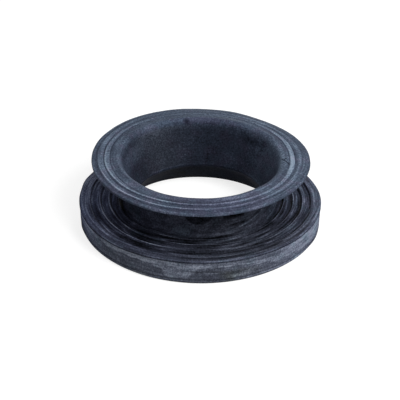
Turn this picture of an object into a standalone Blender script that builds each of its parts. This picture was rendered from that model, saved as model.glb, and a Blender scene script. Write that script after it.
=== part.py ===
"""Waste seal: one moulded rubber ring.

A thick ribbed base and a thin drooping flange stand apart on a short neck, so that the edge
of a sink or tray sits in the groove between them. The bore is narrowest about level with the
top of the base. Below that it opens as a cone, and above it widens into a trumpet mouth.

The origin is the centre of the underside, and +Z runs up the bore.
"""
import math

import bpy

MM = 0.001

# Bore and neck
WAIST_RADIUS = 31.8 * MM
WAIST_HEIGHT = 13.3 * MM
WAIST_LAND = 1.4 * MM
BORE_FLARE = 10.2 * MM
BORE_EDGE = 0.4 * MM
THROAT_STRAIGHT = 4.4 * MM
MOUTH_FLARE = 9.7 * MM
MOUTH_ROUND = 3.0 * MM
NECK_WALL = 4.8 * MM
NECK_FOOT_ROUND = 0.9 * MM

# Groove between the base and the flange
GROOVE_HEIGHT = 19.5 * MM
GROOVE_ROUND = 9.5 * MM

# Flange
FLANGE_OVERHANG = 16.7 * MM
FLANGE_ROOT_THICKNESS = 2.75 * MM
FLANGE_LIP_THICKNESS = 1.6 * MM
FLANGE_LIP_ROUND = 0.4 * MM
FLANGE_DROOP_DEGREES = 7.0
FLANGE_PLAIN_BAND = 3.4 * MM
FLANGE_BEAD_WIDTH = 2.8 * MM
FLANGE_BEAD_PITCH = 3.4 * MM
FLANGE_BEAD_HEIGHT = 0.3 * MM

# Base
BASE_HEIGHT = 13.0 * MM
BASE_OVERHANG = 22.9 * MM
RIM_BAND = 4.4 * MM
RIM_ROUND = 0.4 * MM
RIM_LIP_THICKNESS = 1.0 * MM
RIM_LIP_OVERHANG = 0.4 * MM
SIDE_DRAFT = 0.2 * MM
RING_PITCH = 4.6 * MM
RING_DEPTH = 0.9 * MM
RING_STEP = 0.6 * MM
FOOT_ROUND = 1.6 * MM
FOOT_BEAD_LAND = 0.25 * MM
FOOT_GROOVE_DEPTH = 0.35 * MM

# Facets
TURN_STEPS = 72
CORNER_STEPS = 2
MERGE_DISTANCE = 0.005 * MM

# Rubber
RUBBER_COLOUR = (0.066, 0.074, 0.097, 1.0)
RUBBER_ROUGHNESS = 0.72

# Sizes that follow from the ones above
neck_radius = WAIST_RADIUS + NECK_WALL
bore_radius = WAIST_RADIUS + BORE_FLARE
mouth_radius = WAIST_RADIUS + MOUTH_FLARE
flange_radius = neck_radius + FLANGE_OVERHANG
base_radius = neck_radius + BASE_OVERHANG
root_radius = neck_radius + GROOVE_ROUND
flange_underside = BASE_HEIGHT + GROOVE_HEIGHT
foot_bead_top = FOOT_ROUND + FOOT_BEAD_LAND
flange_slope = math.tan(math.radians(FLANGE_DROOP_DEGREES))


def flange_top(radius):
    """Height of the flange's sloping top, without its beads, at a radius."""
    return flange_underside + FLANGE_ROOT_THICKNESS + (root_radius - radius) * flange_slope


def arc(centre, radius, start_degrees, end_degrees, steps):
    """Points along an arc, both ends included, with angles counted from the radial direction."""
    points = []
    for step in range(steps + 1):
        angle = math.radians(start_degrees + (end_degrees - start_degrees) * step / steps)
        points.append((centre[0] + radius * math.cos(angle), centre[1] + radius * math.sin(angle)))
    return points


def bezier(start, control, end, steps):
    """Points along a quadratic curve, without its first point and its last."""
    points = []
    for step in range(1, steps):
        t = step / steps
        weights = ((1 - t) ** 2, 2 * t * (1 - t), t ** 2)
        radius = weights[0] * start[0] + weights[1] * control[0] + weights[2] * end[0]
        height = weights[0] * start[1] + weights[1] * control[1] + weights[2] * end[1]
        points.append((radius, height))
    return points


def flange_bead(centre):
    """One raised bead on the flange's top, from its inner edge to its outer edge."""
    flat = FLANGE_BEAD_WIDTH * 0.28
    points = []
    for offset, rise in ((-FLANGE_BEAD_WIDTH / 2, 0), (-flat, FLANGE_BEAD_HEIGHT),
                         (flat, FLANGE_BEAD_HEIGHT), (FLANGE_BEAD_WIDTH / 2, 0)):
        points.append((centre + offset, flange_top(centre + offset) + rise))
    return points


def flange_profile():
    """The flange's top from the mouth outwards, its lip, its underside and the groove's round."""
    bead_room = flange_radius - mouth_radius - FLANGE_PLAIN_BAND
    beads = int(bead_room / FLANGE_BEAD_PITCH)
    points = []
    for bead in reversed(range(beads)):
        outer_edge = flange_radius - FLANGE_PLAIN_BAND - bead * FLANGE_BEAD_PITCH
        points += flange_bead(outer_edge - FLANGE_BEAD_WIDTH / 2)
    lip_top = flange_top(flange_radius)
    lip_bottom = lip_top - FLANGE_LIP_THICKNESS
    corner = flange_radius - FLANGE_LIP_ROUND
    points += arc((corner, lip_top - FLANGE_LIP_ROUND), FLANGE_LIP_ROUND, 90, 0, CORNER_STEPS)
    points += arc((corner, lip_bottom + FLANGE_LIP_ROUND), FLANGE_LIP_ROUND, 0, -90, CORNER_STEPS)
    points += arc((root_radius, flange_underside - GROOVE_ROUND), GROOVE_ROUND, 90, 180, 7)
    return points


def ring_profile():
    """The base's top from the neck's foot outwards: rings that each drop steeply towards the bore."""
    foot_radius = neck_radius + NECK_FOOT_ROUND
    foot_centre = (foot_radius, BASE_HEIGHT + NECK_FOOT_ROUND)
    points = arc(foot_centre, NECK_FOOT_ROUND, 180, 270, CORNER_STEPS)
    valleys = []
    valley = base_radius - RIM_BAND - RING_STEP
    while valley > foot_radius + RING_STEP:
        valleys.append(valley)
        valley -= RING_PITCH
    for valley in reversed(valleys):
        points.append((valley, BASE_HEIGHT - RING_DEPTH))
        points.append((valley + RING_STEP, BASE_HEIGHT))
    return points


def side_profile():
    """The rim's lip, the tapering side wall, the bead at its foot and the flat underside."""
    lip_bottom = BASE_HEIGHT - RIM_LIP_THICKNESS
    wall_radius = base_radius - RIM_LIP_OVERHANG
    foot_radius = wall_radius - SIDE_DRAFT
    corner = (base_radius - RIM_ROUND, BASE_HEIGHT - RIM_ROUND)
    points = arc(corner, RIM_ROUND, 90, 0, CORNER_STEPS)
    points.append((base_radius, lip_bottom))
    points.append((wall_radius, lip_bottom))
    points.append((foot_radius, foot_bead_top + 2 * FOOT_GROOVE_DEPTH))
    points.append((foot_radius - FOOT_GROOVE_DEPTH, foot_bead_top + FOOT_GROOVE_DEPTH))
    points.append((foot_radius, foot_bead_top))
    points += arc((foot_radius - FOOT_ROUND, FOOT_ROUND), FOOT_ROUND, 0, -90, 2 * CORNER_STEPS)
    points.append((bore_radius + BORE_EDGE, 0))
    return points


def bore_profile():
    """The bore from its lower edge up: cone, narrow waist, throat and the round of the mouth."""
    waist_bottom = WAIST_HEIGHT - WAIST_LAND / 2
    waist_top = WAIST_HEIGHT + WAIST_LAND / 2
    straight_end = (WAIST_RADIUS, waist_top + THROAT_STRAIGHT)
    centre = (mouth_radius, flange_top(mouth_radius) - MOUTH_ROUND)
    across = centre[0] - straight_end[0]
    up = centre[1] - straight_end[1]
    lean = math.atan2(across, up) - math.asin(MOUTH_ROUND / math.hypot(across, up))
    mouth = arc(centre, MOUTH_ROUND, 180 - math.degrees(lean), 90, 5)
    points = [(bore_radius, BORE_EDGE), (WAIST_RADIUS, waist_bottom), (WAIST_RADIUS, waist_top)]
    points += bezier(points[-1], straight_end, mouth[0], 8)
    points += mouth
    return points


def rubber():
    """Charcoal rubber with a blue cast."""
    material = bpy.data.materials.new("rubber")
    material.use_nodes = True
    shader = material.node_tree.nodes["Principled BSDF"]
    shader.inputs["Base Color"].default_value = RUBBER_COLOUR
    shader.inputs["Roughness"].default_value = RUBBER_ROUGHNESS
    shader.inputs["Metallic"].default_value = 0.0
    return material


def turned(name, outline, material, collection):
    """A closed outline, right of the axis, turned once round it."""
    count = len(outline)
    mesh = bpy.data.meshes.new(name)
    vertices = [(radius, 0, height) for radius, height in outline]
    edges = [(index, (index + 1) % count) for index in range(count)]
    mesh.from_pydata(vertices, edges, [])
    mesh.materials.append(material)
    part = bpy.data.objects.new(name, mesh)
    collection.objects.link(part)
    screw = part.modifiers.new("turn", "SCREW")
    screw.axis = "Z"
    screw.steps = TURN_STEPS
    screw.render_steps = TURN_STEPS
    screw.use_merge_vertices = True
    screw.merge_threshold = MERGE_DISTANCE
    screw.use_smooth_shade = True
    normals = part.modifiers.new("even shading", "WEIGHTED_NORMAL")
    normals.mode = "FACE_AREA"
    return part


def main():
    for old in list(bpy.data.objects):
        bpy.data.objects.remove(old, do_unlink=True)
    collection = bpy.data.collections.new("waste seal")
    bpy.context.scene.collection.children.link(collection)
    outline = flange_profile() + ring_profile() + side_profile() + bore_profile()
    turned("waste_seal", outline, rubber(), collection)


main()
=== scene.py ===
"""Looks of the waste seal: one moulded rubber ring on a pale floor, in soft studio light.

The surface is one closed mesh. A finely stepped outline is turned round the bore's axis, and
each point is then moved by the relief that the moulding and wear left on it. Each point also
keeps a tone, from near black to chalk grey, which gives the rubber's own shades and also paints
shade in the hollows and under the flange and highlights along ridges, and how streaky and how
dusty it is, which the rubber's material turns into colour. Lengths are in millimetres until the
mesh is made, while the material, the floor, the lamps and the camera are in metres.
"""
import math

import bpy
import numpy as np
from mathutils import Matrix, Vector


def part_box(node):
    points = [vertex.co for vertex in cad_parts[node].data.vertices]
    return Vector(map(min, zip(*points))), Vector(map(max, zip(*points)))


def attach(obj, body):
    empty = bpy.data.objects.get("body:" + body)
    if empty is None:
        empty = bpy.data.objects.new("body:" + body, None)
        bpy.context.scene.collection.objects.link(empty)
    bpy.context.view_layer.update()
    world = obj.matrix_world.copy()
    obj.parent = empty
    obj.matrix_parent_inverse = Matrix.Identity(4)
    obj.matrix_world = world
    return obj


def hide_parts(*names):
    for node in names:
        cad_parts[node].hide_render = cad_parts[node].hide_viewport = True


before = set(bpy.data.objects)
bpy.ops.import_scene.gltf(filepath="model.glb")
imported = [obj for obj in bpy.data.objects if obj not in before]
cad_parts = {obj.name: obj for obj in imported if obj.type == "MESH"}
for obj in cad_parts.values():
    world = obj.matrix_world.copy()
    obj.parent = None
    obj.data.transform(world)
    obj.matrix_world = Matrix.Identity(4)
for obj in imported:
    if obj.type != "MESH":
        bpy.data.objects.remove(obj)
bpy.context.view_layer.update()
node_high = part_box("waste_seal")[1]

MM = 0.001

# Sizes of the ring, worked from the outline of the solid
BASE_RADIUS = node_high.x / MM
HEIGHT = node_high.z / MM
BASE_HEIGHT = 13.0
WAIST_HEIGHT = 13.3
NECK_RADIUS = BASE_RADIUS - 22.9
WAIST_RADIUS = NECK_RADIUS - 4.8
BORE_RADIUS = WAIST_RADIUS + 10.2
BORE_EDGE = 0.4
MOUTH_RADIUS = WAIST_RADIUS + 9.7
MOUTH_ROUND = 3.0
WAIST_LAND = 1.4
WAIST_CHAMFER = 0.5
THROAT_STRAIGHT = 4.4
FLANGE_RADIUS = NECK_RADIUS + 16.7
FLANGE_SLOPE = math.tan(math.radians(7.0))
LIP_THICKNESS = 1.6
LIP_ROUND = 0.45
GROOVE_ROUND = 9.5
UNDERSIDE = BASE_HEIGHT + 19.5
NECK_FOOT_ROUND = 0.9
RIM_BAND = 4.4
RIM_ROUND = 0.4
RIM_LIP = 1.0
RIM_OVERHANG = 0.4
RIM_UNDERCUT = 0.15
SIDE_DRAFT = 0.2
RING_PITCH = 4.6
RING_DEPTH = 0.9
FOOT_ROUND = 1.6
FOOT_LAND = 0.25
FOOT_GROOVE = 0.35

# The flange's two beads: the outer edge of each, their heights and the grooves beside them
INNER_BEAD = FLANGE_RADIUS - 6.9
OUTER_BEAD = FLANGE_RADIUS - 3.6
INNER_BEAD_HEIGHT = 0.35
OUTER_BEAD_HEIGHT = 0.28
BEAD_GROOVE = 0.16

# The rings: where the outermost starts, the share of the pitch that its steep drop takes, and
# how far to the right they run off centre
FIRST_RING = BASE_RADIUS - RIM_BAND - 0.9
RING_DROP = 0.14
OFF_CENTRE = 0.4

# How the ring has warped: the flange leans, and the base's top sags
LEAN_RIGHT = math.tan(math.radians(1.15))
LEAN_BACK = math.tan(math.radians(0.45))
SAG_RIGHT = 1.9
SAG_FRONT = 0.3

# The floor is a hair below the underside, so that the two don't coincide
FLOOR_LEVEL = -0.03 * MM
FLOOR_HALF = 3.0

# Directions round the ring, in degrees from +X
RIGHT = 0
LEFT = 180

# Fineness of the mesh: steps in a turn, steps up the throat, and the spacing of the outline's
# points, which is closest where relief shows
TURN_STEPS = 384
THROAT_STEPS = 22
SPACING = {
    "edge": 0.2, "lip": 0.25, "rings": 0.28, "fine": 0.3, "mouth": 0.32, "foot": 0.35,
    "side": 0.44, "neck": 0.48, "groove": 1.6, "under": 1.8, "cone": 2.2, "bottom": 2.5,
}
LATTICE_ROWS = 64

# The camera, as fitted to the photograph's outlines
CAMERA_PLACE = Vector((0.00005, -0.63875, 0.38933))
CAMERA_DOWN_DEGREES = 30.65
CAMERA_ROLL_DEGREES = 0.17
CAMERA_LENS = 135.0
SENSOR_WIDTH = 36.0

# Light: each lamp's name, place, size in metres and power in watts, the point that they all
# face, and the strength of the even light around
LAMPS = (
    ("key", (0.50, -0.50, 0.75), 0.5, 8.5),
    ("front", (-0.35, -0.9, 0.35), 0.5, 1.0),
    ("back", (0.10, 0.95, 0.13), 0.2, 2.5),
)
LAMP_TARGET = Vector((0, 0, 0.02))
WORLD_STRENGTH = 0.3

# The floor's own colour, as what it throws back on the ring and as the camera sees it, and the
# glow that makes it white for the camera
FLOOR_THROWN = (0.25, 0.25, 0.26)
FLOOR_SEEN = (0.4, 0.4, 0.4)
FLOOR_GLOW = 0.78

# The rubber's tone in each place, from 0 for near black to 1 for chalk, before any wear. The low
# tones of the flange's underside, the rings, the neck, the base's rim edge and the cone partly
# paint the shade that falls there
FLANGE_TONE = 0.65
LIP_TONE = 0.62
UNDER_TONE = 0.28
RING_TONE = 0.32
BAND_TONE = 0.40
RIM_TONE = 0.34
EDGE_TONE = 0.30
SIDE_TONE = 0.605
BORE_TONE = 0.42
CONE_TONE = 0.21
NECK_TONE = 0.425
BOTTOM_TONE = 0.5
LOWEST_TONE = -0.2

# Wear, and painted light and shade, on the flange and the rings: strength of the tone, radius and
# half width, direction and half angle. A negative strength is darker. The spots and fades here and
# below were set in many rounds, from how much brighter or darker each place measured in the
# photograph than in a render, so some of them paint light and shade rather than wear.
FLANGE_SPOTS = (
    (-0.08, OUTER_BEAD + 0.9, 0.8, -140, 45),
    (-0.10, INNER_BEAD - 1.4, 0.9, -85, 75),
    (-0.10, OUTER_BEAD - 1.5, 0.8, -70, 60),
)
RING_SPOTS = (
    (0.12, 53.0, 2.0, -178, 20),
    (-0.12, 47.0, 1.8, -165, 18),
    (0.16, 54.0, 1.3, -164, 16),
    (-0.18, 42.0, 2.0, -154, 24),
    (-0.12, 52.0, 2.0, -143, 16),
    (-0.24, 51.0, 2.4, -142, 14),
    (-0.10, 48.8, 2.2, -140, 13),
    (-0.16, 50.0, 1.0, -136, 14),
    (0.14, 53.0, 1.2, -128, 12),
    (-0.18, 49.6, 1.3, -127, 14),
    (0.18, 41.7, 1.6, -124, 18),
    (-0.20, 52.0, 1.6, -108, 14),
    (-0.16, 48.0, 1.2, -106, 14),
    (-0.14, 53.0, 1.6, -105, 14),
    (-0.12, 40.6, 1.8, -102, 22),
    (0.10, 44.6, 2.4, -100, 32),
    (0.16, 38.8, 1.0, -80, 8),
    (-0.26, 48.0, 1.5, -72, 32),
    (-0.26, 43.4, 1.7, -64, 18),
    (-0.10, 45.6, 2.0, -60, 14),
    (-0.28, 40.4, 1.5, -60, 11),
    (-0.07, 40.7, 2.4, -56, 14),
    (-0.36, 52.8, 1.6, -50, 15),
    (-0.16, 48.6, 1.4, -46, 18),
    (-0.12, 43.0, 2.6, -38, 30),
    (0.04, 47.0, 1.5, -36, 10),
    (-0.08, 38.5, 3.5, -28, 22),
    (-0.20, 51.2, 1.6, -24, 26),
    (-0.14, 48.0, 1.8, -22, 24),
    (0.08, 54.2, 1.0, -10, 20),
    (-0.16, 47.6, 1.4, -8, 18),
    (-0.16, 41.5, 2.0, -8, 22),
    (0.16, 54.4, 1.4, -2, 26),
    (-0.14, 52.0, 1.2, -1, 8),
    (-0.16, 43.2, 1.2, 0, 9),
)

# Wear, and painted light and shade, on the side wall: spots with a level in place of the radius,
# and patches that fade in, as strength, direction, half angle, the level where they start and the
# level where they are full
SIDE_SPOTS = (
    (-0.10, 6.4, 1.5, -112, 4),
    (-0.08, 4.9, 1.2, -84, 14),
    (0.09, 7.3, 1.6, -80, 9),
    (-0.12, 5.4, 1.4, -74, 4),
)
SIDE_FADES = (
    (-0.12, -176, 16, 7, 4),
    (0.22, -174, 20, 7, 10.5),
    (-0.12, -173, 9, 7.5, 5),
    (0.18, -158, 24, 4, 7),
    (0.08, -156, 14, 6, 8),
    (0.09, -130, 36, 8, 5),
    (0.08, -113, 18, 9, 10),
    (-0.08, -82, 18, 9, 7),
    (0.15, -74, 12, 5.5, 4),
    (-0.10, -70, 14, 9.3, 10.3),
    (-0.10, -54, 18, 7.5, 9.5),
    (0.10, -45, 20, 5, 3.5),
)

# Light and shade down the throat, in the same form
THROAT_FADES = (
    (-0.16, 150, 35, 27, 20),
    (0.12, 28, 22, 18.5, 15.5),
    (0.10, 2, 35, 25, 32),
)

# Colours by tone, from near black, which paints the shade in the hollows, to chalk grey, which is
# partly real chalk and partly painted highlights along ridges, tuned until the mean colours of a
# render's regions came near the photograph's
TONES = (
    (0.00, (0.0022, 0.0028, 0.0040)),
    (0.08, (0.0104, 0.0123, 0.0196)),
    (0.33, (0.0235, 0.0278, 0.0450)),
    (0.63, (0.0700, 0.0850, 0.1280)),
    (0.80, (0.1380, 0.1690, 0.2420)),
    (1.00, (0.2900, 0.3450, 0.4500)),
)

# Casts that the tone's colour is multiplied by
PLAIN = (1.0, 1.0, 1.0)
OLIVE = (0.80, 0.79, 0.62)
TEAL = (0.94, 1.01, 0.99)
VIOLET = (1.05, 0.97, 0.985)

# Noise in the rubber, as cells a metre, detail and roughness
LINES = (1000.0, 2.0, 0.65)
BLOTCHES = (110.0, 3.0, 0.55)
PATCHES = (30.0, 2.0, 0.55)
GRAIN = (1300.0, 2.0, 0.75)
STAINS = (42.0, 3.0, 0.55)
HUES = (160.0, 2.0, 0.55)
LINE_STRETCH = 0.04

# Finish of the rubber: roughness with how far it strays, gloss, and the depth of the fine relief
ROUGHNESS = 0.44
ROUGHNESS_STRAY = 0.4
GLOSS = 0.008
RELIEF_STRENGTH = 0.5
RELIEF_DEPTH = 0.15 * MM

# A forked crease on the mouth's crest at the right, with a pit beside it, as the ends of strokes;
# it is drawn only as painted shade, with no relief
CREASE = (((39.5, -0.3), (43.4, -6.8)), ((42.0, -0.3), (40.5, -3.0)), ((39.8, -5.1), (40.8, -5.1)))
CREASE_WIDTH = 0.6 * MM

THETA = np.linspace(-math.pi, math.pi, TURN_STEPS, endpoint=False)[None, :]


# Soft shapes and noise


def step(value, low, high):
    """Smooth rise from 0 at low to 1 at high. It falls instead where low is the larger."""
    t = np.clip((value - low) / (high - low), 0, 1)
    return t * t * (3 - 2 * t)


def bump(value, centre, half_width):
    """Smooth rise to 1 at the centre, and 0 past the half width on both sides."""
    return 1 - step(np.abs(value - centre), 0, half_width)


def plateau(value, low, high, edge):
    """1 between low and high, falling to 0 over an edge on each side."""
    return step(value, low - edge, low) - step(value, high, high + edge)


def rough(across, cells_round, seed):
    """Smooth noise between -1 and 1 that closes round the ring.

    rough(RADIUS / 2, 30, 7) has cells 2 mm wide, 30 in a turn, and 7 picks the pattern.
    """
    lattice = np.random.default_rng(seed).uniform(-1, 1, (LATTICE_ROWS, cells_round))
    u = (THETA + math.pi) / (2 * math.pi) * cells_round
    v = np.asarray(across, dtype=float)
    column = np.floor(u).astype(int)
    row = np.floor(v).astype(int)
    du = u - column
    dv = v - row
    du = du * du * (3 - 2 * du)
    dv = dv * dv * (3 - 2 * dv)
    corners = [lattice[(row + a) % LATTICE_ROWS, (column + b) % cells_round]
               for a in (0, 1) for b in (0, 1)]
    near_side = corners[0] * (1 - du) + corners[1] * du
    far_side = corners[2] * (1 - du) + corners[3] * du
    return near_side * (1 - dv) + far_side * dv


def around(cells_round, seed):
    """Smooth noise that only changes round the ring."""
    return rough(np.zeros((1, 1)), cells_round, seed)


def turn_distance(direction):
    """How far each step round the ring is from a direction, in degrees, between -180 and 180."""
    away = np.degrees(THETA) - direction
    return (away + 180) % 360 - 180


def near(direction, half_width):
    """1 in a direction, falling smoothly to 0 at the half width, both in degrees."""
    return bump(turn_distance(direction), 0, half_width)


def spots(across, marks):
    """Sum of soft spots: strength, centre and half width across, direction and half angle."""
    total = np.zeros((1, 1))
    for strength, centre, half_width, direction, half_angle in marks:
        total = total + strength * bump(across, centre, half_width) * near(direction, half_angle)
    return total


def fades(across, marks):
    """Sum of patches that fade in: strength, direction, half angle, start and full."""
    total = np.zeros((1, 1))
    for strength, direction, half_angle, start, full in marks:
        total = total + strength * near(direction, half_angle) * step(across, start, full)
    return total


# Outline


def flange_top(radius):
    """Height of the flange's sloping top, without its beads."""
    return HEIGHT + (MOUTH_RADIUS - radius) * FLANGE_SLOPE


def line(start, end, fineness):
    """Points along a straight stretch, without its end."""
    count = max(1, round(math.dist(start, end) / SPACING[fineness]))
    return [(start[0] + (end[0] - start[0]) * k / count, start[1] + (end[1] - start[1]) * k / count)
            for k in range(count)]


def arc(centre, radius, start_degrees, end_degrees, fineness):
    """Points along an arc, without its end."""
    sweep = math.radians(end_degrees - start_degrees)
    count = max(2, round(abs(sweep) * radius / SPACING[fineness]))
    angles = [math.radians(start_degrees) + sweep * k / count for k in range(count)]
    return [(centre[0] + radius * math.cos(a), centre[1] + radius * math.sin(a)) for a in angles]


def throat_curve(start, control, end):
    """Points up the throat, without the end."""
    points = []
    for k in range(THROAT_STEPS):
        t = k / THROAT_STEPS
        points.append(tuple(start[i] * (1 - t) ** 2 + control[i] * 2 * t * (1 - t) + end[i] * t * t
                            for i in range(2)))
    return points


def flange_outline():
    """The flange's top, its lip, its underside and the groove's round."""
    lip_top = flange_top(FLANGE_RADIUS)
    lip_bottom = lip_top - LIP_THICKNESS
    lip_inner = FLANGE_RADIUS - LIP_ROUND
    root = (NECK_RADIUS + GROOVE_ROUND, UNDERSIDE)
    groove_centre = (root[0], UNDERSIDE - GROOVE_ROUND)
    upper_corner = (FLANGE_RADIUS, lip_top - LIP_ROUND)
    lower_corner = (FLANGE_RADIUS, lip_bottom + LIP_ROUND)
    return [
        ("flange_top", line((MOUTH_RADIUS, HEIGHT), (lip_inner, flange_top(lip_inner)), "fine")),
        ("lip", arc((lip_inner, upper_corner[1]), LIP_ROUND, 90, 0, "edge")
         + line(upper_corner, lower_corner, "lip")
         + arc((lip_inner, lower_corner[1]), LIP_ROUND, 0, -90, "lip")),
        ("under", line((lip_inner, lip_bottom), root, "under")),
        ("under", arc(groove_centre, GROOVE_ROUND, 90, 180, "groove")),
    ]


def base_outline():
    """The neck, the base's top, its rim and side, and the underside."""
    foot_centre = (NECK_RADIUS + NECK_FOOT_ROUND, BASE_HEIGHT + NECK_FOOT_ROUND)
    rim_inner = BASE_RADIUS - RIM_BAND
    rim_corner = (BASE_RADIUS - RIM_ROUND, BASE_HEIGHT - RIM_ROUND)
    rim_under = BASE_HEIGHT - RIM_LIP
    wall_top = (BASE_RADIUS - RIM_OVERHANG, rim_under - RIM_UNDERCUT)
    wall_foot = wall_top[0] - SIDE_DRAFT
    bead_top = FOOT_ROUND + FOOT_LAND
    bead_inner = wall_foot - FOOT_ROUND
    return [
        ("neck", line((NECK_RADIUS, UNDERSIDE - GROOVE_ROUND), (NECK_RADIUS, foot_centre[1]), "neck")),
        ("neck", arc(foot_centre, NECK_FOOT_ROUND, 180, 270, "foot")),
        ("rings", line((foot_centre[0], BASE_HEIGHT), (rim_inner, BASE_HEIGHT), "rings")),
        ("rim", line((rim_inner, BASE_HEIGHT), (rim_corner[0], BASE_HEIGHT), "fine")),
        ("rim_edge", arc(rim_corner, RIM_ROUND, 90, 0, "edge")
         + line((BASE_RADIUS, rim_corner[1]), (BASE_RADIUS, rim_under), "lip")
         + line((BASE_RADIUS, rim_under), wall_top, "edge")),
        ("side", line(wall_top, (wall_foot, bead_top), "side")
         + line((wall_foot, bead_top), (wall_foot, FOOT_ROUND), "edge")
         + arc((bead_inner, FOOT_ROUND), FOOT_ROUND, 0, -90, "fine")),
        ("bottom", line((bead_inner, 0), (BORE_RADIUS + BORE_EDGE, 0), "bottom")),
    ]


def bore_outline():
    """The bore from its lower edge up: cone, waist, throat and the round of the mouth."""
    waist_bottom = WAIST_HEIGHT - WAIST_LAND / 2
    waist_top = WAIST_HEIGHT + WAIST_LAND / 2
    cone_top = (WAIST_RADIUS + WAIST_CHAMFER, waist_bottom - WAIST_CHAMFER)
    straight_end = (WAIST_RADIUS, waist_top + THROAT_STRAIGHT)
    mouth_centre = (MOUTH_RADIUS, HEIGHT - MOUTH_ROUND)
    across = mouth_centre[0] - straight_end[0]
    up = mouth_centre[1] - straight_end[1]
    lean = math.atan2(across, up) - math.asin(MOUTH_ROUND / math.hypot(across, up))
    mouth = arc(mouth_centre, MOUTH_ROUND, 180 - math.degrees(lean), 90, "mouth")
    return [
        ("cone", line((BORE_RADIUS + BORE_EDGE, 0), (BORE_RADIUS, BORE_EDGE), "fine")
         + line((BORE_RADIUS, BORE_EDGE), cone_top, "cone")),
        ("waist", line(cone_top, (WAIST_RADIUS, waist_bottom), "fine")
         + line((WAIST_RADIUS, waist_bottom), (WAIST_RADIUS, waist_top), "fine")),
        ("throat", throat_curve((WAIST_RADIUS, waist_top), straight_end, mouth[0])),
        ("mouth", mouth),
    ]


ZONES = []
POINTS = []
for zone_name, zone_points in flange_outline() + base_outline() + bore_outline():
    ZONES += [zone_name] * len(zone_points)
    POINTS += zone_points
ZONES = np.array(ZONES)
RADIUS = np.array([point[0] for point in POINTS])[:, None]
LEVEL = np.array([point[1] for point in POINTS])[:, None]


def outline_normals():
    """Outward directions of the section, from the points on each side of each point."""
    along_r = np.roll(RADIUS, -1) - np.roll(RADIUS, 1)
    along_z = np.roll(LEVEL, -1) - np.roll(LEVEL, 1)
    length = np.hypot(along_r, along_z)
    return -along_z / length, along_r / length


def zone(*names):
    """1 on the points of these zones, 0 elsewhere."""
    return np.isin(ZONES, names).astype(float)[:, None]


# Relief and tone. Each function gives, for its own zones, how far the surface rises in
# millimetres, its tone from 0 for soot black to 1 for chalk, and how streaky it is.


def flange_skin():
    """The flange's top: two raised beads, broad at the sides and thin at the front."""
    wander = 0.10 * around(9, 11) + 0.04 * around(31, 12) + 0.5 * near(-128, 50)
    across = RADIUS + 0.5 * np.cos(THETA) - wander + 0.15 * near(178, 50) + 0.25 * near(RIGHT, 40)
    shown = 1 - 0.75 * near(95, 70)
    sides = near(LEFT, 75) + near(RIGHT, 65)

    inner_width = 0.8 + 1.4 * near(LEFT, 65) + 1.1 * near(5, 60)
    outer_width = 0.8 + 1.7 * near(LEFT, 65) + 0.7 * near(RIGHT, 60)
    inner = plateau(across, INNER_BEAD - inner_width, INNER_BEAD, 0.4) * shown
    outer = plateau(across, OUTER_BEAD - outer_width, OUTER_BEAD, 0.5) * shown
    grooves = bump(across, INNER_BEAD + 0.55, 0.5) + 0.7 * bump(across, OUTER_BEAD + 0.8, 0.6)
    grooves += bump(across, INNER_BEAD - inner_width - 0.5, 0.5) * sides
    grooves *= shown * (0.8 + 0.3 * around(15, 13))
    lumps = 0.04 * rough(RADIUS / 1.6, 60, 14) + 0.06 * rough(RADIUS / 3.5, 22, 15)
    rise = INNER_BEAD_HEIGHT * inner + OUTER_BEAD_HEIGHT * outer - BEAD_GROOVE * grooves + lumps

    # The beads are lighter than the flange, and most of all at the right: partly painted light,
    # strongest on the key lamp's side. The grooves beside them get painted shade
    thin = 1 - 0.8 * near(-108, 62)
    inner_tone = 0.14 + 0.16 * near(RIGHT, 50) + 0.04 * near(LEFT, 60)
    tone = FLANGE_TONE + inner * inner_tone * thin + 0.10 * outer * thin - 0.17 * grooves
    tone -= 0.11 * near(-95, 60) * step(RADIUS, 42.5, 44) + 0.03 * near(LEFT, 45)
    tone -= 0.045 * near(110, 80)

    # At the front each bead's crest gets a painted highlight line
    crest_highlights = bump(across, INNER_BEAD - 0.25, 0.38) + 0.9 * bump(across, OUTER_BEAD - 0.25, 0.38)
    tone += crest_highlights * near(-118, 90) * (0.31 + 0.05 * around(25, 19) + 0.48 * near(-133, 48))
    tone += spots(across, FLANGE_SPOTS)
    edge = step(RADIUS, FLANGE_RADIUS - 1.3, FLANGE_RADIUS - 0.6)
    tone += edge * (0.03 + 0.12 * near(100, 80)) + 0.04 * rough(RADIUS / 0.7, 18, 16)
    inside = zone("flange_top")
    return rise * inside, tone * inside, 0.28 * inside


def lip_skin():
    """The flange's edge, and its shaded underside."""
    lip = zone("lip")
    under = zone("under")
    tone = (LIP_TONE + 0.05 * around(40, 17)) * lip
    tone = tone + (UNDER_TONE + 0.05 * rough(RADIUS / 3, 30, 18)) * under
    return 0.05 * rough(RADIUS / 3, 26, 19) * under, tone, 0.3 * (lip + under)


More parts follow.
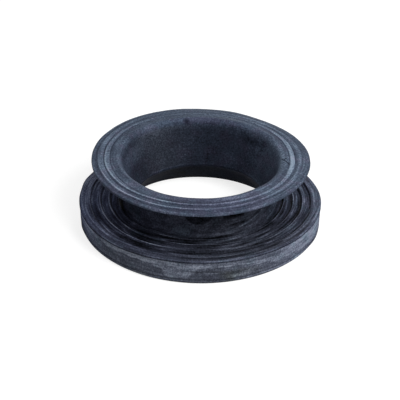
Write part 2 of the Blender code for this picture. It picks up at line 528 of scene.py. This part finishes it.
def ring_skin():
    """Rings on the base's top: each drops steeply towards the bore, with finer flaky lines.

    They wander a little, and the inner ones are pulled inwards at the left and front.
    """
    wander = 0.16 * rough(RADIUS / RING_PITCH, 11, 21) + 0.10 * rough(RADIUS / 2.5, 37, 22)
    pulled = (0.8 * near(-125, 110) + 0.4 * near(-92, 32)) * step(RADIUS, 53, 50.5)
    across = RADIUS - OFF_CENTRE * np.cos(THETA) + wander + pulled
    phase = (across - FIRST_RING) / RING_PITCH
    part = phase - np.floor(phase)
    drop = step(part, 0, RING_DROP)
    depth = RING_DEPTH * (1 + 0.15 * rough(phase, 15, 23))
    rings = np.where(across > FIRST_RING, RING_DEPTH * (drop - 1), depth * (drop - step(part, 0.2, 1) - 1))
    rings = np.where(across > FIRST_RING + RING_DROP * RING_PITCH, 0, rings)

    # Flaky lines and brighter threads, calmer at the sides
    left = near(LEFT, 60)
    flaky = rough(RADIUS / 0.7 + 1.3 * rough(RADIUS / 5, 9, 24), 22, 25)
    flaky += 0.6 * rough(RADIUS / 0.5, 55, 26)
    flaky = flaky * (0.40 + 0.25 * rough(RADIUS / 4, 13, 27))
    flaky = flaky * (1 - 0.35 * near(-12, 60) - 0.45 * near(-142, 40))
    threads = (1 - np.abs(rough(RADIUS / 1.5 + 0.9 * rough(RADIUS / 4, 16, 29), 13, 30))) ** 5
    calm = 1 - 0.6 * left - 0.7 * near(-10, 55)
    fade = step(RADIUS, NECK_RADIUS + 0.6, NECK_RADIUS + 3) * step(across, FIRST_RING + 0.5, FIRST_RING)

    # Each ring has a painted highlight on its crest, painted shade in its valley and, at the right,
    # beside it, and a slightly darker middle
    crest = bump(part, 0.19, 0.11) * (1 + 0.2 * rough(phase, 17, 28))
    crest = crest * (1 + 0.4 * near(-150, 45) + 0.6 * near(-108, 36) * step(RADIUS, 53, 51))
    narrow = 0.14 - 0.05 * left + 0.03 * near(-8, 50)
    valley = bump(part, 0, narrow) + bump(part, 1, narrow)
    valley *= step(across, FIRST_RING + 1.2, FIRST_RING + 0.3) * (1 - 0.4 * left + 0.8 * near(-8, 60))
    middle = bump(part, 0.55, 0.4)
    twin = bump(part, 0.46, 0.08) * near(-142, 26) * step(RADIUS, 47, 49)

    # The rings are lighter at the sides, partly as painted light, and the innermost ones get painted
    # shade there, under the flange
    inner = step(RADIUS, NECK_RADIUS + 9, NECK_RADIUS + 2)
    sides = near(LEFT, 50) + near(RIGHT, 60)
    right = near(RIGHT, 50)
    tone = RING_TONE + 0.12 * sides + 0.02 * right + 0.13 * left
    tone = tone - inner * (0.38 * near(LEFT, 70) + 0.14 * right)
    tone += 0.04 * near(-58, 35) * step(RADIUS, 41, 38)
    tone += fade * (0.30 * crest - 0.28 * valley - 0.10 * middle * (1 - sides) + 0.2 * twin)
    tone += fade * (0.20 * flaky + (0.46 * threads - 0.10) * calm - 0.18 * bump(part, 0.85, 0.3) * right)
    tone += spots(RADIUS, RING_SPOTS)

    # Outside the rings the plain band begins, lighter at the sides, partly as painted light
    band_tone = BAND_TONE + 0.40 * near(-182, 60) + 0.24 * near(RIGHT, 65) - 0.12 * near(-118, 32)
    band_tone = band_tone + 0.14 * flaky * (1 - 0.6 * left)
    tone = np.where(across > FIRST_RING + 0.9, band_tone, tone)
    inside = zone("rings")
    return (rings + 0.13 * flaky * fade) * inside, tone * inside, inside


def rim_skin():
    """The plain band round the base's top, and its thin overhanging lip."""
    band = zone("rim")
    edge = zone("rim_edge")
    calm = 1 - 0.55 * near(LEFT, 55)
    lines = calm * (rough(RADIUS / 0.7, 16, 71) + 0.6 * rough(RADIUS / 0.45, 48, 73))
    threads = calm * (1 - np.abs(rough(RADIUS / 1.4, 15, 76))) ** 5
    # Lighter at the left and at the right, partly as painted light
    tone = RIM_TONE + 0.43 * near(-184, 58) + 0.23 * near(RIGHT, 70) - 0.10 * near(-50, 20)
    tone = tone + 0.12 * near(-146, 14) - 0.04 * near(-112, 16) + 0.16 * threads + 0.09 * lines
    tone -= 0.10 * near(-92, 14) * bump(RADIUS, 57.4, 2.2)
    tone += 0.06 * step(RADIUS, BASE_RADIUS - 2.2, BASE_RADIUS - 1)

    # The edge's top carries a painted highlight, uneven round the ring, and under the overhang the edge keeps
    # a low tone as painted shade
    bright = step(LEVEL, BASE_HEIGHT - 0.8, BASE_HEIGHT - 0.3)
    flakes = near(-48, 35) * around(110, 74)
    shine = 0.85 + 0.25 * around(45, 72) + 0.35 * flakes - 0.3 * near(-46, 16)
    edge_tone = EDGE_TONE + 0.32 * bright * shine
    return 0.05 * lines * band, tone * band + edge_tone * edge, 0.7 * (band + edge)


def side_skin():
    """The side wall: chalky above, with flow lines, stains and a fine groove over its foot bead."""
    lumps = 0.06 * rough(LEVEL / 5, 26, 31) + 0.04 * rough(LEVEL / 1.2, 70, 32)
    groove_level = FOOT_ROUND + FOOT_LAND + FOOT_GROOVE + 0.25 * around(17, 33)
    groove = bump(LEVEL, groove_level, 0.6)
    rise = lumps * step(LEVEL, 0.5, 2.5) - FOOT_GROOVE * groove

    # The chalk's ragged lower edge dips at the front and at the right
    ragged = 0.9 * around(60, 34) + 0.8 * around(120, 35) + 0.8 * rough(LEVEL, 45, 37)
    chalk_edge = 9.2 - 7.0 * near(-101, 15) - 5.5 * near(-20, 60) + 1.5 * near(-168, 20) + ragged
    chalky = step(LEVEL, chalk_edge - 0.4, chalk_edge + 0.4)
    # Painted light and shade: the groove over the foot bead is darker, the wall is lighter towards the right
    # front, on the key lamp's side, and darker at the far left
    tone = SIDE_TONE + (0.18 + 0.08 * near(-125, 25)) * chalky - 0.22 * groove
    tone += 0.07 * near(-30, 65) - 0.24 * near(-174, 20)
    tone += 0.05 * rough(LEVEL / 0.6, 18, 38) + 0.08 * rough(LEVEL / 1.1, 90, 39)
    tone += 0.05 * rough(LEVEL / 3, 40, 36)
    tone += spots(LEVEL, SIDE_SPOTS) + fades(LEVEL, SIDE_FADES)
    inside = zone("side")
    return rise * inside, tone * inside, (0.2 + 0.2 * near(-92, 25)) * inside


def bore_skin():
    """The bore: shallow waves down the throat, and a parting line round the waist with a painted highlight
    along it.
    """
    waves = 0.14 * rough(LEVEL / 7, 17, 41) + 0.05 * rough(LEVEL / 2.5 + 2.2 * around(7, 42), 40, 43)
    parting = bump(LEVEL, WAIST_HEIGHT + 0.4, 0.75) * zone("throat", "waist")
    rise = waves + 0.2 * parting

    # Painted light towards the mouth, along the parting line and on the right of the mouth, and painted
    # shade down the back
    tone = BORE_TONE + 0.20 * step(LEVEL, 30, 35.3) + 0.16 * parting * (0.8 + 0.4 * around(30, 45))
    tone -= 0.22 * near(82, 62) * (1 - 0.7 * step(LEVEL, 33.6, 35.4))
    tone += 0.08 * near(12, 35) + 0.09 * near(-10, 22) * bump(RADIUS, 38.5, 1.8)
    tone += fades(LEVEL, THROAT_FADES)
    tone += 0.04 * rough(LEVEL / 5, 24, 46)
    tone += 0.04 * rough(RADIUS / 1.1 + LEVEL / 4, 12, 44) * near(165, 40)

    # Dark patches and specks under the mouth, and arcs of painted shade down the left
    dark_patch = near(152, 24) * bump(LEVEL, 33.2, 2.8) * (0.8 + 0.5 * rough(LEVEL / 1.5, 60, 47))
    patchiness = rough(LEVEL / 1.3, 75, 49) + 0.7 * rough(LEVEL / 0.8, 150, 59) + 0.25
    dark_patch += 0.8 * near(40, 32) * plateau(LEVEL, 29.8, 33.2, 1.2) * step(patchiness, -0.1, 0.25)
    speck = near(38, 22) * bump(LEVEL, 29, 5)
    shade_arcs = bump(LEVEL, 31.8, 2) - 0.4 * bump(LEVEL, 28, 2.5) + 0.8 * bump(LEVEL, 22, 4)
    tone += speck * (0.14 * rough(LEVEL / 0.9, 150, 50) - 0.03) - 0.18 * dark_patch
    tone -= 0.13 * shade_arcs * near(170, 34)

    # The cone, deep in the bore, gets painted shade, darkest up under the waist
    cone_shade = CONE_TONE + 0.06 * (rough(LEVEL / 4, 30, 48) + near(150, 50) + near(35, 30))
    tone = np.where(zone("cone") > 0, cone_shade - 0.10 * step(LEVEL, 7, 12), tone)
    inside = zone("throat", "mouth", "waist", "cone")
    return rise * inside, tone * inside, 0.08 * inside


def neck_skin():
    """The neck: uneven, and dark partly from painted shade under the flange, with a slanting flash line at
    the right front.
    """
    lumps = 0.14 * rough(LEVEL / 3.2, 26, 51) + 0.08 * rough(LEVEL / 1.1, 60, 52)
    slant = turn_distance(-55) - (LEVEL - 15.2) * 6.3
    flash = bump(slant, 0, 3.2) * step(LEVEL, 14, 15) * step(LEVEL, 21, 19.5)
    shade = bump(slant, -7.0, 5.0) * step(LEVEL, 14, 15)

    # Pockets of painted shadow under the flange, and a hollow below the right one, all dented in a
    # little
    middle = turn_distance(-89.5) + 2.5 * around(90, 57)
    shaded_pocket = plateau(middle, -11, 8, 2) * step(LEVEL - 0.027 * (middle + 1) ** 2, 18.6, 19.2)
    shaded_pocket += plateau(turn_distance(-63), -8, 7, 3) * step(LEVEL, 20.3, 21.0)
    hollow = plateau(turn_distance(-60), -4, 4, 4) * bump(LEVEL, 16.7, 1.3)
    shaded_pocket = np.clip(shaded_pocket + hollow * (0.9 + 0.5 * rough(LEVEL / 0.8, 110, 56)), 0, 1)
    blots = near(-112, 28) * step(LEVEL, 18, 15) * np.clip(1.5 * rough(LEVEL / 0.9, 50, 58), 0, 1)

    tone = NECK_TONE + 0.34 * flash - 0.18 * shade - 0.34 * shaded_pocket * (1 + 0.3 * rough(LEVEL, 70, 60))
    tone += 0.11 * rough(LEVEL / 1.1, 80, 53) + 0.05 * rough(LEVEL / 3, 30, 54)
    tone -= 0.16 * blots + 0.14 * near(-143, 32) + 0.06 * near(-30, 24)
    inside = zone("neck")
    return (lumps + 0.35 * flash - 0.3 * shaded_pocket) * inside, tone * inside, 0.2 * inside


def bottom_skin():
    """The flat underside of the base."""
    inside = zone("bottom")
    tone = BOTTOM_TONE + 0.05 * rough(RADIUS / 4, 24, 55)
    return 0 * inside, tone * inside, 0.5 * inside


def marks():
    """Depth and darkness of small marks: a dimple at the back of the mouth, and two ticks."""
    dimple = near(100.5, 3.6) * bump(RADIUS, 39.5, 1.7) * zone("mouth", "throat")
    tick = near(83.5, 1.3) * bump(LEVEL, 17.3, 3.2) * zone("throat")
    notch = near(-87.9, 0.9) * bump(LEVEL, 10.7, 2.2) * zone("side")
    return 0.45 * dimple + 0.25 * (tick + notch), 0.22 * (1.7 * dimple + 0.9 * tick + 0.8 * notch)


def stray(radius, level):
    """The thin lips and the side wall stray a little from round and flat."""
    lip = step(RADIUS, NECK_RADIUS + 8, FLANGE_RADIUS) * step(LEVEL, 25, 30)
    side = zone("side")
    rim = zone("rim_edge") + 0.5 * zone("rim") + 0.5 * side
    radius = radius + lip * (0.07 * around(9, 61) + 0.06 * around(37, 62) + 0.04 * around(90, 63))
    radius = radius + lip * (0.3 * np.cos(3 * THETA - 0.33) - 0.25 * near(-12, 28))
    radius = radius + rim * (0.08 * around(12, 66) + 0.08 * around(50, 67) + 0.5 * near(165, 9))
    radius = radius + rim * 0.45 * near(8, 70)
    radius = radius - 0.42 * (side * step(LEVEL, 6, 2) + zone("bottom")) * near(-142, 45)
    radius = radius + 0.3 * side * step(LEVEL, 10, 7) * (near(-20, 10) + near(-171, 10))
    level = level + lip * (0.24 * np.cos(2 * THETA + 1.05) - 0.15 * np.sin(3 * THETA))
    level = level + lip * (0.05 * around(7, 64) + 0.05 * around(33, 65) + 0.35)
    level = level - lip * (0.3 * near(LEFT, 70) + 0.25 * near(52, 25) - 0.25 * near(70, 20))
    level = level - 0.45 * bump(RADIUS, 41, 6) * step(LEVEL, 25, 30) * near(-112, 50)
    return radius, level


def warp(radius, level):
    """Places in space: the flange leans to the right and back, and the base sags at its right."""
    x = radius * np.cos(THETA)
    y = radius * np.sin(THETA)
    flange = step(LEVEL, 18, 31)
    level = level - flange * (x * LEAN_RIGHT + y * LEAN_BACK)
    upper = step(LEVEL, 2, 12) * step(RADIUS, NECK_RADIUS + 1, BASE_RADIUS - 3) * (1 - flange)
    sag = SAG_RIGHT * near(28, 75) + SAG_FRONT * (near(-45, 30) + near(-135, 30))
    level = np.maximum(level - upper * sag, 0)

    # The flange and the side's foot sit a little to the right, the cone's foot to the left and front
    side = zone("side")
    low_cone = zone("cone") * step(LEVEL, 12, 0)
    x = x + 0.3 * side * step(LEVEL, 7, 11) * near(-172, 16) * np.cos(THETA)
    x = x + 0.25 * flange + (0.3 - 0.25 * near(LEFT, 70)) * side * step(LEVEL, 12, 10) - 0.8 * low_cone
    y = y - (0.7 - 0.5 * near(118, 30)) * low_cone
    return np.stack([x, y, level], -1)


def surface():
    """Places of all points, with their tones and streakiness."""
    rise = np.zeros((len(RADIUS), TURN_STEPS))
    tone = np.zeros_like(rise)
    streak = np.zeros_like(rise)
    for skin in (flange_skin, lip_skin, ring_skin, rim_skin, side_skin, bore_skin, neck_skin, bottom_skin):
        zone_rise, zone_tone, zone_streak = skin()
        rise = rise + zone_rise
        tone = tone + zone_tone
        streak = streak + zone_streak
    hollow, dark = marks()
    rise = rise - hollow
    normal_r, normal_z = outline_normals()
    radius, level = stray(RADIUS + rise * normal_r, LEVEL + rise * normal_z)
    return warp(radius, level), np.clip(tone - dark, LOWEST_TONE, 1), np.clip(streak, 0, 1)


def dustiness():
    """How dusty each point is. Dust is greyer, and below 0 the rubber is fresh and more violet."""
    wall = (0.62 * zone("side") + 0.28 * zone("rim_edge")) * (1 - 0.8 * near(-10, 75))
    dust = wall * (1 - 0.9 * near(LEFT, 50)) + 0.55 * zone("rings", "neck", "rim") * near(-68, 75)
    dust = dust + 0.5 * zone("throat") * near(128, 45) + 0.75 * zone("cone") * near(110, 60)
    dust = dust - 0.7 * zone("rings", "rim", "rim_edge", "side") * near(-174, 44)
    return dust - 0.25 * zone("mouth") * near(85, 60) - 0.15 * zone("flange_top") * near(-78, 40)


# Mesh


def ring_mesh():
    """The whole ring as one closed mesh, with its tones, streaks and dust stored on its points."""
    places, tone, streak = surface()
    rows, columns = places.shape[:2]
    index = np.arange(rows * columns).reshape(rows, columns)
    right = np.roll(index, -1, axis=1)
    below = np.roll(index, -1, axis=0)
    below_right = np.roll(below, -1, axis=1)
    faces = np.stack([index, below, below_right, right], -1).reshape(-1, 4)
    mesh = bpy.data.meshes.new("seal_ring")
    mesh.from_pydata((places.reshape(-1, 3) * MM).tolist(), [], faces.tolist())
    for name, values in (("tone", tone), ("streak", streak), ("dust", dustiness())):
        layer = mesh.attributes.new(name, "FLOAT", "POINT")
        layer.data.foreach_set("value", values.astype(np.float32).ravel())
    mesh.shade_smooth()
    return mesh


# Rubber


class Nodes:
    """Short calls that build a material's nodes."""

    def __init__(self, material):
        material.use_nodes = True
        self.tree = material.node_tree
        self.shader = self.tree.nodes["Principled BSDF"]

    def put(self, kind, **settings):
        """A new node with these settings."""
        node = self.tree.nodes.new(kind)
        for name, value in settings.items():
            setattr(node, name, value)
        return node

    def link(self, source, target):
        self.tree.links.new(source, target)

    def stored(self, name):
        """A value that the mesh keeps on its points."""
        return self.put("ShaderNodeAttribute", attribute_name=name).outputs["Fac"]

    def value(self, kind, *given):
        """A math node, whose inputs are numbers or sockets."""
        node = self.put("ShaderNodeMath", operation=kind)
        for slot, source in enumerate(given):
            if isinstance(source, (int, float)):
                node.inputs[slot].default_value = source
            else:
                self.link(source, node.inputs[slot])
        return node.outputs[0]

    def sum(self, *terms):
        """Adds up (source, factor, middle) terms, each as factor x (source - middle)."""
        total = None
        for source, factor, middle in terms:
            part = self.value("MULTIPLY_ADD", source, factor, -factor * middle)
            total = part if total is None else self.value("ADD", total, part)
        return total

    def span(self, source, low, high):
        """Spreads the stretch from low to high over 0 to 1."""
        node = self.put("ShaderNodeMapRange", clamp=True, interpolation_type="SMOOTHSTEP")
        node.inputs["From Min"].default_value = low
        node.inputs["From Max"].default_value = high
        self.link(source, node.inputs["Value"])
        return node.outputs["Result"]

    def blend(self, amount, first, second):
        """First colour where the amount is 0, second where it is 1."""
        node = self.put("ShaderNodeMix", data_type="RGBA")
        self.link(amount, node.inputs["Factor"])
        for name, colour in (("A", first), ("B", second)):
            socket = [s for s in node.inputs if s.name == name and s.type == "RGBA"][0]
            socket.default_value = (*colour, 1)
        return [s for s in node.outputs if s.type == "RGBA"][0]

    def tint(self, colour, cast):
        """A colour multiplied by a cast."""
        node = self.put("ShaderNodeVectorMath", operation="MULTIPLY")
        self.link(colour, node.inputs[0])
        self.link(cast, node.inputs[1])
        return node.outputs[0]

    def ramp(self, source, stops):
        """Colours along a ramp of (position, colour) stops."""
        node = self.put("ShaderNodeValToRGB")
        elements = node.color_ramp.elements
        while len(elements) < len(stops):
            elements.new(0.5)
        for element, (position, colour) in zip(elements, stops):
            element.position = position
            element.color = (*colour, 1)
        self.link(source, node.inputs["Fac"])
        return node.outputs["Color"]

    def stroke(self, place, start, end, width):
        """1 along a straight mark between two points, as seen from above."""
        middle = (start + end) / 2
        along = (end - start).normalized()
        across = along.cross(Vector((0, 0, 1)))
        half = (end - start).length / 2
        offset = self.put("ShaderNodeVectorMath", operation="SUBTRACT")
        self.link(place, offset.inputs[0])
        offset.inputs[1].default_value = middle
        masks = []
        for direction, inner, outer in ((along, half * 0.8, half), (across, 0, width)):
            dot = self.put("ShaderNodeVectorMath", operation="DOT_PRODUCT")
            self.link(offset.outputs[0], dot.inputs[0])
            dot.inputs[1].default_value = direction
            reach = self.span(self.value("ABSOLUTE", dot.outputs["Value"]), inner, outer)
            masks.append(self.value("SUBTRACT", 1.0, reach))
        return self.value("MULTIPLY", *masks)

    def noise(self, vector, scale, detail, roughness):
        """Noise between 0 and 1."""
        node = self.put("ShaderNodeTexNoise")
        node.inputs["Scale"].default_value = scale
        node.inputs["Detail"].default_value = detail
        node.inputs["Roughness"].default_value = roughness
        self.link(vector, node.inputs["Vector"])
        return node.outputs["Fac"]


def turned_streaks(n, x, y, z, streak):
    """Fine lines that run round the ring, as strong as each point's streakiness."""
    reach = n.value("SQRT", n.value("ADD", n.value("MULTIPLY", x, x), n.value("MULTIPLY", y, y)))
    turned = n.put("ShaderNodeCombineXYZ")
    n.link(n.value("MULTIPLY", x, LINE_STRETCH), turned.inputs[0])
    n.link(n.value("MULTIPLY", y, LINE_STRETCH), turned.inputs[1])
    n.link(n.value("ADD", reach, z), turned.inputs[2])
    lines = n.noise(turned.outputs[0], *LINES)
    return n.value("MULTIPLY", n.value("SUBTRACT", lines, 0.5), streak)


def crease_shade_mask(n, place, upper):
    """1 along the forked crease and its pit, high up on the ring."""
    strokes = [n.stroke(place, Vector((*start, 0)) * MM, Vector((*end, 0)) * MM, CREASE_WIDTH)
               for start, end in CREASE]
    forked = n.value("MAXIMUM", n.value("MAXIMUM", strokes[0], strokes[1]), strokes[2])
    return n.value("MULTIPLY", forked, upper)


def rubber():
    """Charcoal rubber, coloured by its tone, with fine grain, turned streaks and faint stains."""
    material = bpy.data.materials.new("rubber")
    n = Nodes(material)
    place = n.put("ShaderNodeTexCoord").outputs["Object"]
    split = n.put("ShaderNodeSeparateXYZ")
    n.link(place, split.inputs[0])
    x, y, z = split.outputs
    dust = n.stored("dust")
    streaks = turned_streaks(n, x, y, z, n.stored("streak"))
    blotches = n.noise(place, *BLOTCHES)
    patches = n.noise(place, *PATCHES)
    grain = n.noise(place, *GRAIN)

    # The tone, mottled and darkened along the crease as painted shade, gives the colour
    upper = n.span(z, 24 * MM, 34 * MM)
    mottling = n.sum((grain, 0.9, 0.5), (blotches, 0.25, 0.5), (patches, 0.15, 0.5), (streaks, 1.7, 0.0))
    crease = crease_shade_mask(n, place, upper)
    colour = n.ramp(n.sum((n.stored("tone"), 1.0, 0.0), (mottling, 1.0, 0.0), (crease, -0.5, 0.0)), TONES)

    # Its cast wanders between teal and violet, less so where it is dusty
    fresh = n.value("MINIMUM", dust, 0.0)
    hue = n.noise(place, *HUES)
    violet = n.sum((hue, 1.0, 0.0), (upper, -0.10, 0.0), (y, -1.6, 0.0), (fresh, -1.0, 0.0))
    calm = n.value("MULTIPLY_ADD", dust, -0.6, 1.0)
    cast = n.blend(n.value("MULTIPLY", n.span(violet, 0.36, 0.60), calm), TEAL, VIOLET)
    fade = n.put("ShaderNodeHueSaturation")
    n.link(n.tint(colour, cast), fade.inputs["Color"])
    n.link(n.value("MULTIPLY_ADD", dust, -0.4, 1.0), fade.inputs["Saturation"])

    # Olive stains low down, where it is dustiest
    low = n.value("SUBTRACT", 1.0, n.span(z, 6 * MM, 8 * MM))
    dirty = n.value("MULTIPLY", n.span(dust, 0.45, 0.65), low)
    stains = n.value("MULTIPLY", n.span(n.noise(place, *STAINS), 0.5, 0.62), dirty)
    stained = n.tint(fade.outputs["Color"], n.blend(stains, PLAIN, OLIVE))
    n.link(stained, n.shader.inputs["Base Color"])

    n.link(n.value("MULTIPLY_ADD", blotches, ROUGHNESS_STRAY, ROUGHNESS), n.shader.inputs["Roughness"])
    n.shader.inputs["Specular IOR Level"].default_value = GLOSS
    n.shader.inputs["Metallic"].default_value = 0.0

    relief = n.put("ShaderNodeBump")
    relief.inputs["Strength"].default_value = RELIEF_STRENGTH
    relief.inputs["Distance"].default_value = RELIEF_DEPTH
    n.link(n.sum((grain, 0.6, 0.0), (streaks, 1.0, 0.0)), relief.inputs["Height"])
    n.link(relief.outputs["Normal"], n.shader.inputs["Normal"])
    return material


# Stage


def floor_material():
    """Pale floor: the camera sees it as white but for a faint shadow, and it throws back less light."""
    material = bpy.data.materials.new("floor")
    n = Nodes(material)
    n.tree.nodes.remove(n.shader)
    path = n.put("ShaderNodeLightPath")
    seen = n.value("MAXIMUM", path.outputs["Is Camera Ray"], path.outputs["Is Glossy Ray"])
    cover = n.put("ShaderNodeBsdfDiffuse")
    n.link(n.blend(seen, FLOOR_THROWN, FLOOR_SEEN), cover.inputs["Color"])
    glow = n.put("ShaderNodeEmission")
    n.link(n.value("MULTIPLY", seen, FLOOR_GLOW), glow.inputs["Strength"])
    both = n.put("ShaderNodeAddShader")
    n.link(cover.outputs[0], both.inputs[0])
    n.link(glow.outputs[0], both.inputs[1])
    output = [node for node in n.tree.nodes if node.type == "OUTPUT_MATERIAL"][0]
    n.link(both.outputs[0], output.inputs["Surface"])
    return material


def make_floor():
    """A wide square floor just under the ring."""
    mesh = bpy.data.meshes.new("floor")
    corners = [(x * FLOOR_HALF, y * FLOOR_HALF, FLOOR_LEVEL) for x, y in ((-1, -1), (1, -1), (1, 1), (-1, 1))]
    mesh.from_pydata(corners, [], [(0, 1, 2, 3)])
    mesh.materials.append(floor_material())
    floor = bpy.data.objects.new("floor", mesh)
    bpy.context.scene.collection.objects.link(floor)


def make_world():
    """Even white surroundings. The camera sees them as plain white."""
    world = bpy.data.worlds.new("surroundings")
    bpy.context.scene.world = world
    world.use_nodes = True
    nodes = world.node_tree.nodes
    links = world.node_tree.links
    background = nodes["Background"]
    background.inputs["Color"].default_value = (1, 1, 1, 1)
    path = nodes.new("ShaderNodeLightPath")
    either = nodes.new("ShaderNodeMath")
    either.operation = "MAXIMUM"
    links.new(path.outputs["Is Camera Ray"], either.inputs[0])
    links.new(path.outputs["Is Glossy Ray"], either.inputs[1])
    level = nodes.new("ShaderNodeMapRange")
    level.inputs["To Min"].default_value = WORLD_STRENGTH
    level.inputs["To Max"].default_value = 1.0
    links.new(either.outputs[0], level.inputs["Value"])
    links.new(level.outputs["Result"], background.inputs["Strength"])


def make_lamp(name, place, size, power):
    """A square soft lamp that faces the ring."""
    data = bpy.data.lights.new(name, "AREA")
    data.shape = "SQUARE"
    data.size = size
    data.energy = power
    lamp = bpy.data.objects.new(name, data)
    lamp.location = place
    lamp.rotation_euler = (LAMP_TARGET - Vector(place)).to_track_quat("-Z", "Y").to_euler()
    bpy.context.scene.collection.objects.link(lamp)


def make_camera():
    """The camera at the photograph's viewing angle."""
    data = bpy.data.cameras.new("camera")
    data.sensor_fit = "HORIZONTAL"
    data.sensor_width = SENSOR_WIDTH
    data.lens = CAMERA_LENS
    data.clip_start = 0.01
    data.clip_end = 20.0
    camera = bpy.data.objects.new("camera", data)
    tilt = Matrix.Rotation(math.radians(90 - CAMERA_DOWN_DEGREES), 4, "X")
    roll = Matrix.Rotation(math.radians(CAMERA_ROLL_DEGREES), 4, "Z")
    camera.matrix_world = Matrix.Translation(CAMERA_PLACE) @ tilt @ roll
    bpy.context.scene.collection.objects.link(camera)
    bpy.context.scene.camera = camera


seal = bpy.data.objects.new("seal_ring", ring_mesh())
bpy.context.scene.collection.objects.link(seal)
seal.data.materials.append(rubber())
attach(seal, "root")
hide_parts("waste_seal")

make_floor()
make_world()
for lamp_name, lamp_place, lamp_size, lamp_power in LAMPS:
    make_lamp(lamp_name, lamp_place, lamp_size, lamp_power)
make_camera()
bpy.context.scene.view_settings.view_transform = "Standard"
